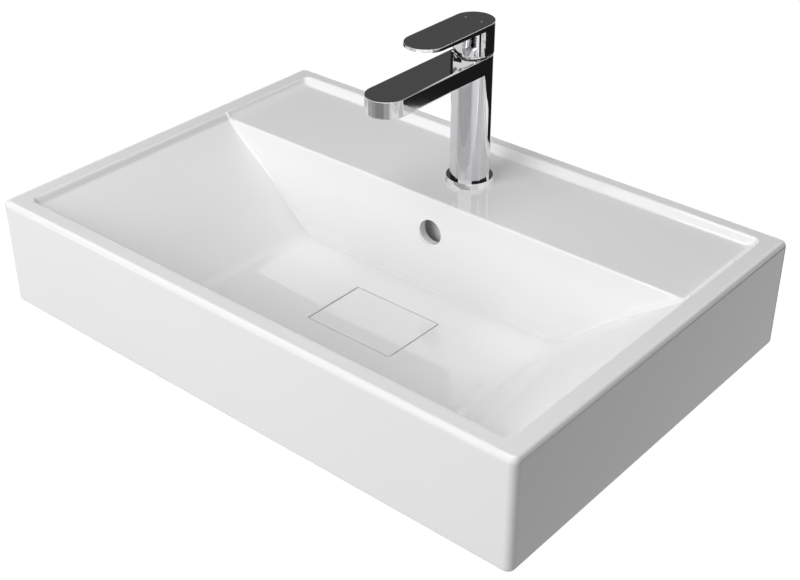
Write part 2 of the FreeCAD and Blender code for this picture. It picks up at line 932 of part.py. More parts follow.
def retaining_nut():
    """Brass nut that holds the cartridge down, with notches for its key."""
    low = pin_level + shoulder_level
    high = column_top
    outer = chamber_radius - nut_clearance
    body = ring(outer, nut_bore, 0, tap_y, low, high)
    half = collar_notch_width / 2
    for index in range(collar_notches):
        notch = box(
            nut_bore - overrun, nut_bore + collar_notch_depth, -half, half,
            high - collar_notch_depth, high + overrun,
        )
        notch.rotate(Vector(0, 0, 0), Vector(0, 0, 1), 360 * index / collar_notches)
        notch.translate(Vector(0, tap_y, 0))
        body = body.cut(notch)
    return one_solid(body)


def dome_ring():
    """Chrome ring with a ball-shaped outside, centred on the pin."""
    centre = Vector(0, tap_y, pin_level)
    shell = Part.makeSphere(dome_radius, centre)
    shell = shell.cut(Part.makeSphere(dome_radius - dome_thickness, centre))
    high = pin_level + dome_top
    band = rod(chamber_radius, 0, tap_y, column_top, high)
    return one_solid(shell.common(band))


def lever_outline(half_width, low, high):
    """Plan of the lever between two levels."""
    tip_y = tap_y - lever_reach + lever_radius
    return stadium(half_width, tip_y, low, high)


def lever_plate():
    """The flat handle, thinner towards its tip."""
    top = pin_level + lever_top
    plate = lever_outline(lever_radius, top - lever_hub_thickness, top)
    plate = plate.makeFillet(lever_edge, flat_edges(plate, top))
    root = tap_y - wrap_front
    tip = tap_y - lever_reach - overrun
    under = top - lever_hub_thickness
    rise = lever_hub_thickness - lever_tip_thickness
    half = lever_radius + overrun
    points = [Vector(-half, root, under), Vector(-half, tip, under), Vector(-half, tip, under + rise)]
    wedge = Part.Face(Part.makePolygon(points + points[:1])).extrude(Vector(2 * half, 0, 0))
    return plate.cut(wedge)


def lever_hub():
    """The hub: a full cylinder, wrapped by a wider wall at the sides and the back."""
    low = column_top + lever_gap
    high = pin_level + lever_top - lever_hub_thickness + lever_edge
    front = rod(hub_front_radius, 0, tap_y, low, high)
    wrap = lever_outline(lever_radius, low, high)
    wrap = wrap.makeChamfer(skirt_edge, flat_edges(wrap, low))
    back = tap_y + lever_radius + overrun
    half = lever_radius + overrun
    keep = box(-half, half, tap_y - wrap_front, back, low - overrun, high + overrun)
    return front.fuse(wrap.common(keep))


def lever_hollow():
    """What is cut from below: the bore over the dome, the flare and the pocket."""
    low = column_top + lever_gap
    ceiling = pin_level + hub_ceiling
    bore = rod(hub_bore, 0, tap_y, low - overrun, ceiling)
    flare_high = low + skirt_flare_height
    flare = Part.makeCone(
        skirt_flare_radius, hub_bore, skirt_flare_height, Vector(0, tap_y, low),
    )
    flare = flare.fuse(rod(skirt_flare_radius, 0, tap_y, low - overrun, low))
    keep_low = tap_y - wrap_front + spout_lower_edge
    keep = box(-lever_radius, lever_radius, keep_low, tap_y + lever_radius, low - overrun, flare_high)
    pocket = ring(pocket_radius, post_radius, 0, tap_y, ceiling - overrun, pin_level + pocket_ceiling)
    half = bridge_width / 2
    bridge = box(-half, half, tap_y, tap_y + lever_radius, ceiling, pin_level + pocket_ceiling)
    return bore.fuse(flare.common(keep)).fuse(pocket.cut(bridge))


def lever():
    """Handle and hub in one casting."""
    body = lever_plate().fuse(lever_hub()).cut(lever_hollow())
    half = stem_size / 2 + socket_clearance
    top = pin_level + stem_top
    low = top - socket_depth - overrun
    body = body.cut(box(-half, half, tap_y - half, tap_y + half, low, top))
    start = Vector(0, tap_y, pin_level + screw_level)
    back = lever_radius + overrun
    bore = Part.makeCylinder(grub_radius + screw_clearance, back, start, Vector(0, 1, 0))
    seat = Vector(0, tap_y + lever_radius - screw_plug_inset - screw_plug_length, start.z)
    depth = screw_plug_length + screw_plug_inset + overrun
    plug = Part.makeCylinder(screw_plug_radius + screw_clearance, depth, seat, Vector(0, 1, 0))
    return one_solid(body.cut(bore).cut(plug))


def grub_screw():
    """Screw that holds the lever on the stem."""
    start = Vector(0, tap_y + stem_size / 2, pin_level + screw_level)
    body = Part.makeCylinder(grub_radius, grub_length, start, Vector(0, 1, 0))
    end = start.add(Vector(0, grub_length - grub_key_depth, 0))
    key = Part.makeCylinder(grub_key_radius, grub_key_depth + overrun, end, Vector(0, 1, 0))
    return one_solid(body.cut(key))


def screw_plug():
    """Plug over the screw at the back of the lever."""
    back = lever_radius - screw_plug_inset - screw_plug_length
    start = Vector(0, tap_y + back, pin_level + screw_level)
    return Part.makeCylinder(screw_plug_radius, screw_plug_length, start, Vector(0, 1, 0))


PIECES = (
    basin, drain_cover, cover_pads,
    waste_body, flange_seal, lower_seal, slip_washer, waste_backnut,
    tap_body, base_ring, base_seal,
    aerator_shell, aerator_insert, aerator_washer,
    fixing_stud, rubber_horseshoe, metal_horseshoe, fixing_nut,
    base_gasket, cartridge_base, fixed_disc, moving_disc, disc_driver,
    rotor, pivot_pin, stem, cartridge_housing, chamber_seal, retaining_nut, dome_ring,
    lever, grub_screw, screw_plug,
)


def main():
    """Write one file for each piece."""
    os.makedirs("parts", exist_ok=True)
    for piece in PIECES:
        shape = piece()
        shape.exportStep("parts/" + piece.__name__ + ".step")
        state = "valid" if shape.isValid() else "NOT VALID"
        print(piece.__name__, state, len(shape.Solids), round(shape.Volume))


if __name__ == "__main__":
    main()
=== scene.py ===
"""Wall-hung white washbasin with a lever mixer tap: the visible pieces, their finishes and the studio.

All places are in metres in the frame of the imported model: +X to the right, +Y into the wall, +Z up.
"""

import logging
import math
from dataclasses import dataclass
from enum import Enum

import bmesh
import bpy
import numpy as np
from mathutils import Matrix, Vector


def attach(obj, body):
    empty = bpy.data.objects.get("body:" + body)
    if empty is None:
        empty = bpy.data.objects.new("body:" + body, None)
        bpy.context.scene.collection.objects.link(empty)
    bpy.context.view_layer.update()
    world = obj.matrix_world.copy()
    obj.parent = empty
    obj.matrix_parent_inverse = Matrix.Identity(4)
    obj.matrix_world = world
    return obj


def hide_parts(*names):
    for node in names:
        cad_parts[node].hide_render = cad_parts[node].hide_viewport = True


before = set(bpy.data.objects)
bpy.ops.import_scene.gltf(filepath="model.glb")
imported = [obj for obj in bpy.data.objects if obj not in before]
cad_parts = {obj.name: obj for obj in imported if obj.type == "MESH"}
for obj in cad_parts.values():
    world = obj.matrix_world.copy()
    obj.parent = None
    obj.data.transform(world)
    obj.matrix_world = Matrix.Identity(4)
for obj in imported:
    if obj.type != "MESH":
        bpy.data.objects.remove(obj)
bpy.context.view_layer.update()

MM = 0.001
WHITE = (1.0, 1.0, 1.0, 1.0)
DOT_EDGES = 12.0
MERGE_DISTANCE = 1e-7
FLAT_ANGLE = 0.2
SHARP_ANGLE = 30.0
BASIN_SHARP_ANGLE = 32.0
TAP_Y = -0.089
SPOUT_TIP_Y = -0.2232
LEVER_TOP = 0.2265
FLOOR_LEVEL = -0.60
BOARD_LEVEL = FLOOR_LEVEL + 0.05
LOG = logging.getLogger("washbasin")


class Body(str, Enum):
    """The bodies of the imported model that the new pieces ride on."""

    BASIN = "basin_body"
    LEVER = "lever_body"
    COVER = "cover_body"


class Slot(str, Enum):
    """The record's material slots that the new pieces take their finish from."""

    GLAZE = "glaze"
    TAP = "tap_chrome"
    WASTE = "waste_chrome"


class Cut(str, Enum):
    """How one closed solid acts on another."""

    TAKE_AWAY = "DIFFERENCE"
    ADD = "UNION"


class Flow:
    """A node socket that carries a value or a vector, with arithmetic on it."""

    def __init__(self, tree: "ShaderTree", socket: bpy.types.NodeSocket) -> None:
        """Wraps a socket.

        Args:
            tree: the tree that the socket belongs to.
            socket: the output socket.
        """
        self.tree = tree
        self.socket = socket

    def _math(self, operation: str, *values: object) -> "Flow":
        """One Math node on this and other values.

        Args:
            operation: name of the Math operation.
            values: its inputs in order, numbers or flows.

        Returns:
            The node's value.
        """
        return self.tree.node("ShaderNodeMath", {"operation": operation}, dict(enumerate(values)))

    def __add__(self, other: object) -> "Flow":
        """Sum."""
        return self._math("ADD", self, other)

    def __radd__(self, other: object) -> "Flow":
        """Sum, reflected."""
        return self._math("ADD", other, self)

    def __sub__(self, other: object) -> "Flow":
        """Difference."""
        return self._math("SUBTRACT", self, other)

    def __rsub__(self, other: object) -> "Flow":
        """Difference, reflected."""
        return self._math("SUBTRACT", other, self)

    def __mul__(self, other: object) -> "Flow":
        """Product."""
        return self._math("MULTIPLY", self, other)

    def __rmul__(self, other: object) -> "Flow":
        """Product, reflected."""
        return self._math("MULTIPLY", other, self)

    def clamped(self, low: float, high: float) -> "Flow":
        """The value held between two limits.

        Args:
            low: lower limit.
            high: upper limit.

        Returns:
            The held value.
        """
        return self._math("MINIMUM", self._math("MAXIMUM", self, low), high)


class ShaderTree:
    """The node tree of a material or of the surroundings, built through one method for every node."""

    def __init__(self, owner: bpy.types.Material | bpy.types.World) -> None:
        """Empties the owner's tree.

        Args:
            owner: the material or the surroundings.
        """
        owner.use_nodes = True
        self.owner = owner
        self.tree = owner.node_tree
        self.tree.nodes.clear()

    def node(
        self, kind: str, settings: dict[str, object], inputs: dict[object, object], output: object = 0
    ) -> Flow:
        """Adds one node.

        Args:
            kind: the node's type.
            settings: its properties, set before the inputs.
            inputs: socket name or index to a number, tuple or flow.
            output: name or index of the output to return.

        Returns:
            The output as a flow.
        """
        made = self.tree.nodes.new(kind)
        for name, value in settings.items():
            setattr(made, name, value)
        for key, value in inputs.items():
            if isinstance(value, Flow):
                self.tree.links.new(value.socket, made.inputs[key])
            else:
                made.inputs[key].default_value = value
        return Flow(self, made.outputs[output])

    def object_place(self) -> Flow:
        """The point's place in the object's own coordinates."""
        return self.node("ShaderNodeTexCoord", {}, {}, "Object")

    def noise(self, scale: float, detail: float, roughness: float = 0.5) -> Flow:
        """Soft noise over the object.

        Args:
            scale: cells per metre.
            detail: octaves.
            roughness: weight of the finer octaves.

        Returns:
            A value round one half.
        """
        inputs = {"Vector": self.object_place(), "Scale": scale, "Detail": detail, "Roughness": roughness}
        return self.node("ShaderNodeTexNoise", {}, inputs)

    def bump(self, height: Flow, depth: float) -> Flow:
        """A bumped normal.

        Args:
            height: the height field.
            depth: its height in metres.

        Returns:
            The normal.
        """
        return self.node("ShaderNodeBump", {}, {"Height": height, "Distance": depth, "Strength": 1.0})

    def mix_colours(self, share: object, first: object, second: object) -> Flow:
        """A blend of two colours.

        Args:
            share: weight of the second, a number or a flow.
            first: colour or flow.
            second: colour or flow.

        Returns:
            The blended colour.
        """
        return self.node("ShaderNodeMix", {"data_type": "RGBA"}, {0: share, 6: first, 7: second}, 2)

    def dot(self, centre: tuple[float, float, float], radius: float) -> Flow:
        """A round spot round a point.

        Args:
            centre: the point, in metres.
            radius: the spot's radius, in metres.

        Returns:
            One inside the spot, none outside, with an edge a twelfth of the radius wide.
        """
        inputs = {0: self.object_place(), 1: centre}
        distance = self.node("ShaderNodeVectorMath", {"operation": "DISTANCE"}, inputs, "Value")
        return ((radius - distance) * (DOT_EDGES / radius)).clamped(0.0, 1.0)

    def background_rays(self) -> Flow:
        """One for the camera's rays and for those that metal or glass sends on, none for the rest."""
        kinds = ("Is Camera Ray", "Is Glossy Ray", "Is Transmission Ray")
        camera, glossy, passing = (self.node("ShaderNodeLightPath", {}, {}, kind) for kind in kinds)
        return (camera + glossy + passing).clamped(0.0, 1.0)

    def finish(
        self, shader: Flow, output: str = "ShaderNodeOutputMaterial"
    ) -> bpy.types.Material | bpy.types.World:
        """Ends the tree.

        Args:
            shader: the shader to show.
            output: type of the output node.

        Returns:
            The owner.
        """
        end = self.tree.nodes.new(output)
        self.tree.links.new(shader.socket, end.inputs["Surface"])
        return self.owner

    def surface(self, inputs: dict[object, object]) -> bpy.types.Material:
        """Ends the tree in a Principled shader.

        Args:
            inputs: the shader's inputs.

        Returns:
            The finished material.
        """
        return self.finish(self.node("ShaderNodeBsdfPrincipled", {}, inputs))


@dataclass(frozen=True)
class Glaze:
    """White sanitary glaze: a deep clear gloss over a barely wavy body."""

    name: str = "white_glaze"
    colour: tuple[float, float, float, float] = (0.86, 0.86, 0.865, 1.0)
    shade: tuple[float, float, float, float] = (0.83, 0.83, 0.84, 1.0)
    roughness: float = 0.035
    drift_scale: float = 6.0
    wave_scale: float = 38.0
    wave_depth: float = 0.00006
    haze_scale: float = 90.0
    haze: float = 0.03
    coat: float = 0.2
    coat_roughness: float = 0.03
    refraction: float = 1.52

    def material(self) -> bpy.types.Material:
        """The glaze's material."""
        tree = ShaderTree(bpy.data.materials.new(self.name))
        colour = tree.mix_colours(tree.noise(self.drift_scale, 2.0), self.colour, self.shade)
        skin = tree.bump(tree.noise(self.wave_scale, 2.0), self.wave_depth)
        return tree.surface({
            "Base Color": colour,
            "Roughness": tree.noise(self.haze_scale, 4.0) * self.haze + self.roughness,
            "Normal": skin,
            "Coat Weight": self.coat,
            "Coat Roughness": self.coat_roughness,
            "IOR": self.refraction,
        })


@dataclass(frozen=True)
class Metal:
    """Plated or bare metal with the faint unevenness of its polish."""

    name: str
    colour: tuple[float, float, float, float]
    roughness: float
    grain: float
    depth: float
    dots: tuple[tuple[float, float, float], ...] = ()
    dot_radius: float = 0.00085
    dot_colour: tuple[float, float, float, float] = (0.62, 0.62, 0.63, 1.0)
    dot_roughness: float = 0.3
    drift_scale: float = 30.0
    drift: float = 0.94
    smoothest: float = 0.7
    haze: float = 0.6

    def material(self) -> bpy.types.Material:
        """The metal's material, with any index dots painted on it."""
        tree = ShaderTree(bpy.data.materials.new(self.name))
        haze = tree.noise(self.grain, 4.0)
        darker = tuple(part * self.drift for part in self.colour[:3]) + (1.0,)
        colour = tree.mix_colours(tree.noise(self.drift_scale, 2.0), self.colour, darker)
        roughness = haze * (self.haze * self.roughness) + self.smoothest * self.roughness
        metallic: object = 1.0
        for centre in self.dots:
            paint = tree.dot(centre, self.dot_radius)
            colour = tree.mix_colours(paint, colour, self.dot_colour)
            roughness = roughness + paint * self.dot_roughness
            metallic = metallic - paint
        return tree.surface({
            "Base Color": colour,
            "Metallic": metallic,
            "Roughness": roughness,
            "Normal": tree.bump(haze, self.depth),
        })


@dataclass(frozen=True)
class Moulding:
    """Moulded rubber, plastic or pressed ceramic."""

    name: str
    colour: tuple[float, float, float, float]
    roughness: float
    grain: float
    depth: float
    lift: float = 1.15
    least_lift: float = 0.01
    haze: float = 0.15

    def material(self) -> bpy.types.Material:
        """The moulding's material."""
        tree = ShaderTree(bpy.data.materials.new(self.name))
        speck = tree.noise(self.grain, 5.0, 0.6)
        paler = tuple(min(1.0, part * self.lift + self.least_lift) for part in self.colour[:3]) + (1.0,)
        return tree.surface({
            "Base Color": tree.mix_colours(speck, self.colour, paler),
            "Roughness": speck * self.haze + self.roughness,
            "Normal": tree.bump(speck, self.depth),
        })


class Finishes:
    """Every finish of the washbasin, made once."""

    def __init__(self) -> None:
        """Makes the materials."""
        self.glaze = Glaze().material()
        plate = ((0.80, 0.80, 0.81, 1.0), 0.045, 220.0, 0.000004)
        dots = tuple((x, -0.0896, LEVER_TOP) for x in (-0.010, 0.010))
        self.chrome = Metal("chrome_plate", *plate).material()
        self.marked = Metal("marked_chrome", *plate, dots).material()
        self.brass = Metal("plain_brass", (0.72, 0.56, 0.28, 1.0), 0.28, 900.0, 0.00002).material()
        self.steel = Metal("plain_steel", (0.58, 0.58, 0.59, 1.0), 0.32, 1200.0, 0.00002).material()
        self.rubber = Moulding("black_rubber", (0.030, 0.030, 0.033, 1.0), 0.62, 1500.0, 0.00003).material()
        self.plastic = Moulding("natural_plastic", (0.70, 0.70, 0.67, 1.0), 0.42, 900.0, 0.00001).material()
        self.disc = Moulding("ground_ceramic", (0.84, 0.84, 0.82, 1.0), 0.22, 600.0, 0.000004).material()


def rounded_path(corners: list[tuple[float, float, float]], steps: int = 10) -> np.ndarray:
    """Points along straight runs whose corners are arcs.

    At a corner of radius r between runs that turn by an angle t, the arc starts and ends
    r * tan(t / 2) from the corner; its centre lies on the bisector, r / cos(t / 2) away.

    Args:
        corners: (a, b, radius) of each corner; the first and the last are plain ends.
        steps: pieces in each arc.

    Returns:
        The points, one row each.
    """
    rows = [np.array([corners[0][:2]])]
    for before, here, after in zip(corners, corners[1:], corners[2:]):
        point = np.array(here[:2])
        back = np.array(before[:2]) - point
        ahead = np.array(after[:2]) - point
        back /= np.linalg.norm(back)
        ahead /= np.linalg.norm(ahead)
        turn = math.pi - math.acos(float(np.clip(back @ ahead, -1, 1)))
        if here[2] == 0 or turn < 1e-6:
            rows.append(point[None])
            continue
        inward = (back + ahead) / np.linalg.norm(back + ahead)
        centre = point + inward * here[2] / math.cos(turn / 2)
        start = point + back * here[2] * math.tan(turn / 2) - centre
        sense = math.copysign(1.0, float(start[0] * ahead[1] - start[1] * ahead[0]))
        angles = sense * np.linspace(0, turn, steps + 1)
        cos, sin = np.cos(angles), np.sin(angles)
        rows.append(centre + np.stack([start[0] * cos - start[1] * sin, start[0] * sin + start[1] * cos], axis=1))
    rows.append(np.array([corners[-1][:2]]))
    return np.concatenate(rows)


def rounded_rectangle(half_x: float, half_y: float, radius: float, steps: int = 8) -> np.ndarray:
    """Points round a rectangle with arc corners, counter-clockwise from the right.

    Args:
        half_x: half width.
        half_y: half depth.
        radius: corner radius.
        steps: pieces in each corner.

    Returns:
        The points, one row each.
    """
    turns = np.linspace(0, math.pi / 2, steps + 1)
    quarter = np.arange(4)[:, None] * math.pi / 2
    angles = (quarter + turns).ravel()
    sign_x = np.repeat([1, -1, -1, 1], steps + 1)
    sign_y = np.repeat([1, 1, -1, -1], steps + 1)
    x = sign_x * (half_x - radius) + radius * np.cos(angles)
    y = sign_y * (half_y - radius) + radius * np.sin(angles)
    return np.stack([x, y], axis=1)


def graded(stops: list[float], counts: tuple[int, ...]) -> np.ndarray:
    """Lines over several runs, evenly spaced within each.

    Args:
        stops: the ends of the runs, in order.
        counts: lines in each run, its ends among them.

    Returns:
        The places of the lines.
    """
    runs = [np.linspace(start, end, count) for start, end, count in zip(stops, stops[1:], counts)]
    return np.unique(np.concatenate(runs))


def quad_rows(rows: int, columns: int, closed: bool) -> np.ndarray:
    """Quads between neighbouring points of a grid.

    Args:
        rows: points along the first direction.
        columns: points along the second direction.
        closed: whether the last column meets the first.

    Returns:
        Point numbers, four to a row.
    """
    index = np.arange(rows * columns).reshape(rows, columns)
    ahead = np.roll(index, -1, axis=1)
    if not closed:
        index, ahead = index[:, :-1], ahead[:, :-1]
    return np.stack([index[:-1], ahead[:-1], ahead[1:], index[1:]], axis=-1).reshape(-1, 4)


def solid(name: str, points: np.ndarray, faces: list[list[int]]) -> bpy.types.Object:
    """A mesh object from points in millimetres, with its faces turned outwards.

    Args:
        name: the object's name.
        points: one row for each point.
        faces: point numbers of each face.

    Returns:
        The linked object.
    """
    mesh = bpy.data.meshes.new(name)
    mesh.from_pydata((points * MM).tolist(), [], faces)
    work = bmesh.new()
    work.from_mesh(mesh)
    bmesh.ops.remove_doubles(work, verts=work.verts, dist=MERGE_DISTANCE)
    bmesh.ops.recalc_face_normals(work, faces=work.faces)
    work.to_mesh(mesh)
    work.free()
    made = bpy.data.objects.new(name, mesh)
    bpy.context.scene.collection.objects.link(made)
    return made


def loft(name: str, loops: np.ndarray) -> bpy.types.Object:
    """A closed solid through loops of equal count, with a flat face at each end.

    Args:
        name: the object's name.
        loops: array of loops by points by three.

    Returns:
        The object.
    """
    rows, columns = loops.shape[:2]
    faces = quad_rows(rows, columns, True).tolist()
    faces.append(list(range(columns)))
    faces.append(list(range((rows - 1) * columns, rows * columns)))
    return solid(name, loops.reshape(-1, 3), faces)


def field_solid(name: str, xs: np.ndarray, ys: np.ndarray, heights: np.ndarray, level: float) -> bpy.types.Object:
    """A closed solid between a height field over the lines xs and ys and a flat level.

    Args:
        name: the object's name.
        xs: places of the lines across.
        ys: places of the lines along.
        heights: height at each crossing, xs by ys.
        level: height of the flat side.

    Returns:
        The object.
    """
    grid_x, grid_y = np.meshgrid(xs, ys, indexing="ij")
    top = np.stack([grid_x, grid_y, heights], axis=-1)
    index = np.arange(heights.size).reshape(heights.shape)
    border = np.concatenate([index[:-1, 0], index[-1, :-1], index[:0:-1, -1], index[0, :0:-1]])
    flat = top.reshape(-1, 3)[border].copy()
    flat[:, 2] = level
    count = heights.size
    around = np.arange(len(border))
    ahead = np.roll(around, -1)
    walls = np.stack([border, np.roll(border, -1), count + ahead, count + around], axis=1)
    faces = quad_rows(*heights.shape, False).tolist() + walls.tolist()
    faces.append((count + around).tolist())
    return solid(name, np.concatenate([top.reshape(-1, 3), flat]), faces)


def turned(
    name: str, profile: np.ndarray, centre: tuple[float, float, float], axis: str, count: int = 96
) -> bpy.types.Object:
    """A closed solid turned from a profile of (radius, height) rows that starts and ends off the axis.

    Args:
        name: the object's name.
        profile: the rows.
        centre: a point on the axis, height zero.
        axis: "Z" for an upright axis or "Y" for one into the wall.
        count: points round the axis.

    Returns:
        The object.
    """
    angles = np.linspace(0, 2 * math.pi, count, endpoint=False)
    radius, height = profile[:, :1], profile[:, 1:]
    flat = [radius * np.cos(angles), radius * np.sin(angles), np.broadcast_to(height, (len(profile), count))]
    if axis == "Y":
        flat = [flat[0], flat[2], flat[1]]
    return loft(name, np.stack(flat, axis=-1) + np.array(centre))


def block(name: str, low: tuple[float, float, float], high: tuple[float, float, float]) -> bpy.types.Object:
    """A plain cutter between two corners.

    Args:
        name: the object's name.
        low: lowest corner.
        high: highest corner.

    Returns:
        The object.
    """
    corners = np.array([[low[0], low[1]], [high[0], low[1]], [high[0], high[1]], [low[0], high[1]]])
    loops = [np.column_stack([corners, np.full(4, level)]) for level in (low[2], high[2])]
    return loft(name, np.array(loops))


def combine(target: bpy.types.Object, steps: list[tuple[Cut, bpy.types.Object]]) -> None:
    """Adds solids to a target or takes them away, in order, and removes the tools.

    Args:
        target: the object that changes.
        steps: how and with what.
    """
    for number, (cut, tool) in enumerate(steps):
        modifier = target.modifiers.new(f"step_{number}", "BOOLEAN")
        modifier.operation = cut.value
        modifier.object = tool
        modifier.solver = "MANIFOLD"
    bpy.context.view_layer.update()
    graph = bpy.context.evaluated_depsgraph_get()
    mesh = bpy.data.meshes.new_from_object(target.evaluated_get(graph))
    target.modifiers.clear()
    target.data = mesh
    for _, tool in steps:
        bpy.data.objects.remove(tool, do_unlink=True)


def soften(piece: bpy.types.Object, angle: float) -> None:
    """Smooth shading with sharp edges above an angle, and large faces kept flat.

    Args:
        piece: the object.
        angle: the angle in degrees.
    """
    mesh = piece.data
    mesh.polygons.foreach_set("use_smooth", np.ones(len(mesh.polygons), dtype=bool))
    mesh.set_sharp_from_angle(angle=math.radians(angle))
    weights = piece.modifiers.new("even_normals", "WEIGHTED_NORMAL")
    weights.keep_sharp = True
    weights.weight = 75


def settle(piece: bpy.types.Object, body: Body, node: str, material: bpy.types.Material) -> None:
    """Dresses a finished piece and puts it in place of its node.

    Args:
        piece: the object.
        body: the body that it rides on.
        node: the node that it stands for.
        material: its finish.
    """
    piece.data.materials.clear()
    piece.data.materials.append(material)
    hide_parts(node)
    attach(piece, body.value)
    LOG.info("%s: %d faces", piece.name, len(piece.data.polygons))


def polished_copy(node: str, body: Body, material: bpy.types.Material) -> None:
    """Puts a smooth-shaded copy of a node's own surface in its place.

    Args:
        node: the node.
        body: the body that it rides on.
        material: its finish.
    """
    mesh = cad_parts[node].data.copy()
    work = bmesh.new()
    work.from_mesh(mesh)
    bmesh.ops.remove_doubles(work, verts=work.verts, dist=MERGE_DISTANCE)
    bmesh.ops.dissolve_limit(work, angle_limit=math.radians(FLAT_ANGLE), verts=work.verts, edges=work.edges)
    work.to_mesh(mesh)
    work.free()
    piece = bpy.data.objects.new(f"{node}_polished", mesh)
    bpy.context.scene.collection.objects.link(piece)
    soften(piece, SHARP_ANGLE)
    settle(piece, body, node, material)


